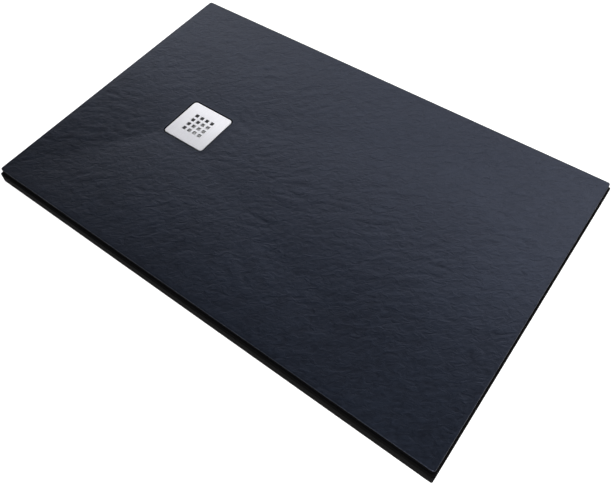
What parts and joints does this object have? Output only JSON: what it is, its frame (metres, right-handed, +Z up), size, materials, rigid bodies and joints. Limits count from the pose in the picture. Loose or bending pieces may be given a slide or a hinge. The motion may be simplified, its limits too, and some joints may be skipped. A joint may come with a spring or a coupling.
{
  "type": "shower tray",
  "caption": "Thin rectangular slate-effect shower tray with a square steel drain cover, hair strainer and removable siphon trap with a side outlet.",
  "frame": {"origin": "centre of the slab's flat underside", "axes": "+Z up, +X along the length from the drain end to the far short end, +Y to the left of +X; the drain lies on the X axis at x = -0.3"},
  "size_m": [1.2, 0.8, 0.1326],
  "materials": {
    "slate_resin": "satin",
    "cover_steel": "satin",
    "stud_steel": "satin",
    "lock_nut_steel": "satin",
    "foot_rubber": "matte",
    "strainer_plastic": "satin",
    "knob_plastic": "satin",
    "flange_plastic": "satin",
    "screw_steel": "satin",
    "gasket_rubber": "matte",
    "lower_gasket_rubber": "matte",
    "trap_plastic": "satin",
    "insert_brass": "satin",
    "cup_plastic": "satin",
    "tube_plastic": "satin",
    "o_ring_rubber": "satin",
    "nut_plastic": "satin",
    "washer_plastic": "satin",
    "cone_seal_rubber": "matte"
  },
  "bodies": {
    "tray": {"tray_slab": "slate_resin", "waste_top_flange": "flange_plastic", "flange_screws": "screw_steel", "top_gasket": "gasket_rubber", "bottom_gasket": "lower_gasket_rubber", "trap_body": "trap_plastic", "thread_inserts": "insert_brass", "outlet_nut": "nut_plastic", "outlet_washer": "washer_plastic", "outlet_cone_seal": "cone_seal_rubber"},
    "cover": {"cover_plate": "cover_steel", "cover_studs": "stud_steel", "cover_lock_nuts": "lock_nut_steel", "cover_feet": "foot_rubber"},
    "siphon": {"siphon_cup": "cup_plastic", "dip_tube": "tube_plastic", "siphon_o_ring": "o_ring_rubber"},
    "strainer": {"hair_strainer": "strainer_plastic", "strainer_knob": "knob_plastic"}
  },
  "joints": [
    {"name": "cover_lift", "type": "slide", "parent": "tray", "child": "cover", "axis": [0, 0, 1], "range_m": [0, 0.24]},
    {"name": "siphon_lift", "type": "slide", "parent": "tray", "child": "siphon", "axis": [0, 0, 1], "range_m": [0, 0.12]},
    {"name": "strainer_lift", "type": "slide", "parent": "siphon", "child": "strainer", "axis": [0, 0, 1], "range_m": [0, 0.06]}
  ],
  "couplings": [
    {"joint": "siphon_lift", "follows": "cover_lift", "ratio": 0.5},
    {"joint": "strainer_lift", "follows": "cover_lift", "ratio": 0.25}
  ]
}
